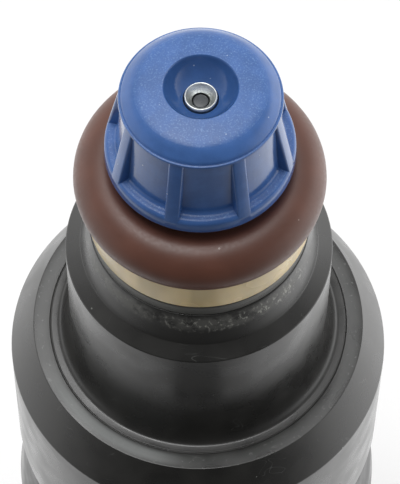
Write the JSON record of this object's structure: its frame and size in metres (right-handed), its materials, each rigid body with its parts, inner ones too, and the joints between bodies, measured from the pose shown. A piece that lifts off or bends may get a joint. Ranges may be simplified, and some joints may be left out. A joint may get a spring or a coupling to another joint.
{
  "type": "fuel injector",
  "caption": "Top-feed pintle fuel injector: ribbed cap over the nozzle, seals at both ends, crimped steel body, moulded body with an angled two-pin socket and a filtered inlet.",
  "frame": {"origin": "on the injector's axis in the plane of the housing's flat shoulder", "axes": "+Z along the injector's axis, out of the nozzle; the electrical connector leans out towards -Y; +X completes the frame"},
  "size_m": [0.0244, 0.0435, 0.0777],
  "materials": {
    "blue_nylon": "fine spark-eroded texture with a soft sheen",
    "nozzle_steel": "ground and polished",
    "core_steel": "turned, lightly zinc plated",
    "brown_rubber": "smooth fluorocarbon rubber with a soft sheen",
    "natural_nylon": "translucent natural nylon",
    "black_steel": "satin black with scuffs at the edges",
    "black_nylon": "glossy glass-filled nylon",
    "bobbin_nylon": "plain moulded",
    "enamelled_copper": "wound enamelled wire",
    "spring_steel": "drawn wire",
    "brass": "drawn",
    "tinned_brass": "tin plated"
  },
  "bodies": {
    "injector": {"backing_ring": "natural_nylon", "coil_bobbin": "bobbin_nylon", "coil_winding": "enamelled_copper", "connector_body": "black_nylon", "filter_cage": "bobbin_nylon", "filter_collar": "brass", "filter_mesh": "spring_steel", "front_coil_seal": "brown_rubber", "lift_stop_plate": "core_steel", "lower_o_ring": "brown_rubber", "nozzle_body": "nozzle_steel", "nozzle_seal": "brown_rubber", "pintle_cap": "blue_nylon", "pole_core_tube": "core_steel", "rear_coil_seal": "brown_rubber", "return_spring": "spring_steel", "spring_adjuster": "brass", "terminal_left": "tinned_brass", "terminal_right": "tinned_brass", "upper_o_ring": "brown_rubber", "valve_housing": "black_steel"},
    "needle": {"pintle_needle": "nozzle_steel", "armature": "core_steel"}
  },
  "joints": [
    {"name": "needle_lift", "type": "slide", "parent": "injector", "child": "needle", "axis": [0, 0, -1], "range_m": [0, 0.00015], "stiffness_N_per_m": 3000, "springref_m": -0.00004, "deforming": ["return_spring"]}
  ]
}
